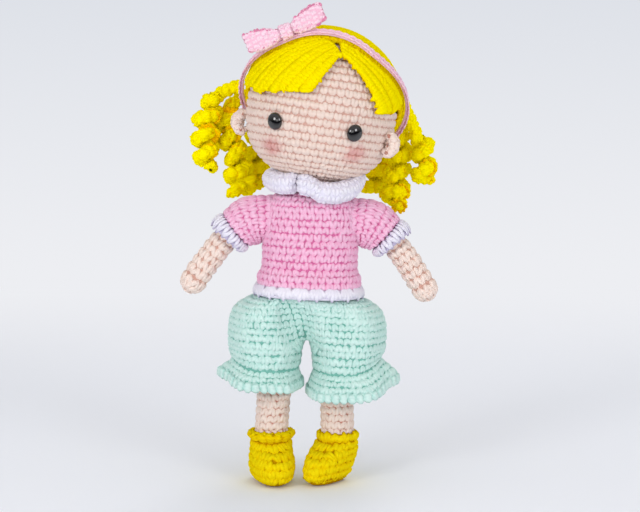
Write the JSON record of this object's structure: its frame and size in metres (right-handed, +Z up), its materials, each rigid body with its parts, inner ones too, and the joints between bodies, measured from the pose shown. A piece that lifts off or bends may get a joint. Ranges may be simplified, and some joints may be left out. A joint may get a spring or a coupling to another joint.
{
  "type": "crocheted doll",
  "caption": "Crocheted stuffed doll that stands in boots, with corkscrew curls, a headband with a bow, short-sleeved top, full shorts, and a head, arms and legs that move.",
  "frame": {"origin": "on the ground under the middle of the whole doll's bounding box", "axes": "+Z up, -Y the way the doll faces, +X to the doll's own left"},
  "size_m": [0.1305, 0.0963, 0.2344],
  "materials": {
    "skin_yarn": "crocheted cotton yarn, peach",
    "hair_yarn": "crocheted cotton yarn, lemon yellow",
    "pink_yarn": "crocheted cotton yarn, pink",
    "pale_pink_yarn": "crocheted cotton yarn, pale pink",
    "mint_yarn": "crocheted cotton yarn, mint",
    "white_yarn": "crocheted cotton yarn, white",
    "boot_yarn": "crocheted cotton yarn, deep yellow",
    "eye_plastic": "polished black",
    "stuffing": "loose polyester fibre, white",
    "insole_sheet": "thin flexible sheet"
  },
  "bodies": {
    "torso": {"body_skin": "skin_yarn", "body_stuffing": "stuffing", "shirt": "pink_yarn", "hem_trim": "white_yarn", "collar": "white_yarn", "shorts": "mint_yarn"},
    "head": {"head_skin": "skin_yarn", "head_stuffing": "stuffing", "eye_right": "eye_plastic", "eye_left": "eye_plastic", "eye_washer_right": "eye_plastic", "eye_washer_left": "eye_plastic", "ear_right": "skin_yarn", "ear_left": "skin_yarn", "hair_cap": "hair_yarn", "fringe_right_1": "hair_yarn", "fringe_right_2": "hair_yarn", "fringe_right_3": "hair_yarn", "fringe_right_4": "hair_yarn", "fringe_right_5": "hair_yarn", "fringe_left_1": "hair_yarn", "fringe_left_2": "hair_yarn", "headband": "pale_pink_yarn", "bow_ribbon": "pale_pink_yarn", "bow_knot": "pale_pink_yarn"},
    "curls_side_right": {"curl_side_outer_right": "hair_yarn", "curl_side_inner_right": "hair_yarn"},
    "curls_back_right": {"curl_back_outer_right": "hair_yarn", "curl_back_inner_right": "hair_yarn"},
    "curls_side_left": {"curl_side_outer_left": "hair_yarn", "curl_side_inner_left": "hair_yarn"},
    "curls_back_left": {"curl_back_outer_left": "hair_yarn", "curl_back_inner_left": "hair_yarn"},
    "arm_right": {"arm_skin_right": "skin_yarn", "arm_stuffing_right": "stuffing", "sleeve_right": "pink_yarn", "cuff_right": "white_yarn"},
    "arm_left": {"arm_skin_left": "skin_yarn", "arm_stuffing_left": "stuffing", "sleeve_left": "pink_yarn", "cuff_left": "white_yarn"},
    "leg_right": {"leg_skin_right": "skin_yarn", "leg_stuffing_right": "stuffing", "insole_right": "insole_sheet", "boot_right": "boot_yarn"},
    "leg_left": {"leg_skin_left": "skin_yarn", "leg_stuffing_left": "stuffing", "insole_left": "insole_sheet", "boot_left": "boot_yarn"}
  },
  "joints": [
    {"name": "head_turn", "type": "hinge", "parent": "torso", "child": "head", "pos_m": [0.0011, -0.0099, 0.1515], "axis": [0.1478, 0, 0.989], "range_deg": [-20, 20], "stiffness_Nm_per_rad": 0.15},
    {"name": "arm_right_swing", "type": "hinge", "parent": "torso", "child": "arm_right", "pos_m": [-0.02339, -0.0099, 0.13284], "axis": [0.9994, 0, -0.0349], "range_deg": [-50, 30], "stiffness_Nm_per_rad": 0.02},
    {"name": "arm_left_swing", "type": "hinge", "parent": "torso", "child": "arm_left", "pos_m": [0.02558, -0.0099, 0.13113], "axis": [0.9994, 0, -0.0349], "range_deg": [-50, 30], "stiffness_Nm_per_rad": 0.02},
    {"name": "leg_right_swing", "type": "hinge", "parent": "torso", "child": "leg_right", "pos_m": [-0.01497, -0.0099, 0.07892], "axis": [1, 0, 0], "range_deg": [-10, 10], "stiffness_Nm_per_rad": 1},
    {"name": "leg_left_swing", "type": "hinge", "parent": "torso", "child": "leg_left", "pos_m": [0.01341, -0.0099, 0.07793], "axis": [1, 0, 0], "range_deg": [-10, 10], "stiffness_Nm_per_rad": 1},
    {"name": "curls_side_right_swing", "type": "hinge", "parent": "head", "child": "curls_side_right", "pos_m": [-0.03313, 0.00822, 0.19783], "axis": [0.4553, 0.8264, -0.3314], "range_deg": [0, 30]},
    {"name": "curls_back_right_swing", "type": "hinge", "parent": "head", "child": "curls_back_right", "pos_m": [-0.01922, 0.02666, 0.18236], "axis": [0.8794, 0.3523, -0.3202], "range_deg": [0, 30]},
    {"name": "curls_side_left_swing", "type": "hinge", "parent": "head", "child": "curls_side_left", "pos_m": [0.04466, 0.01249, 0.19083], "axis": [0.6055, -0.7262, 0.3256], "range_deg": [0, 30]},
    {"name": "curls_back_left_swing", "type": "hinge", "parent": "head", "child": "curls_back_left", "pos_m": [0.02225, 0.03049, 0.17699], "axis": [0.9726, -0.194, 0.1279], "range_deg": [0, 30]}
  ]
}
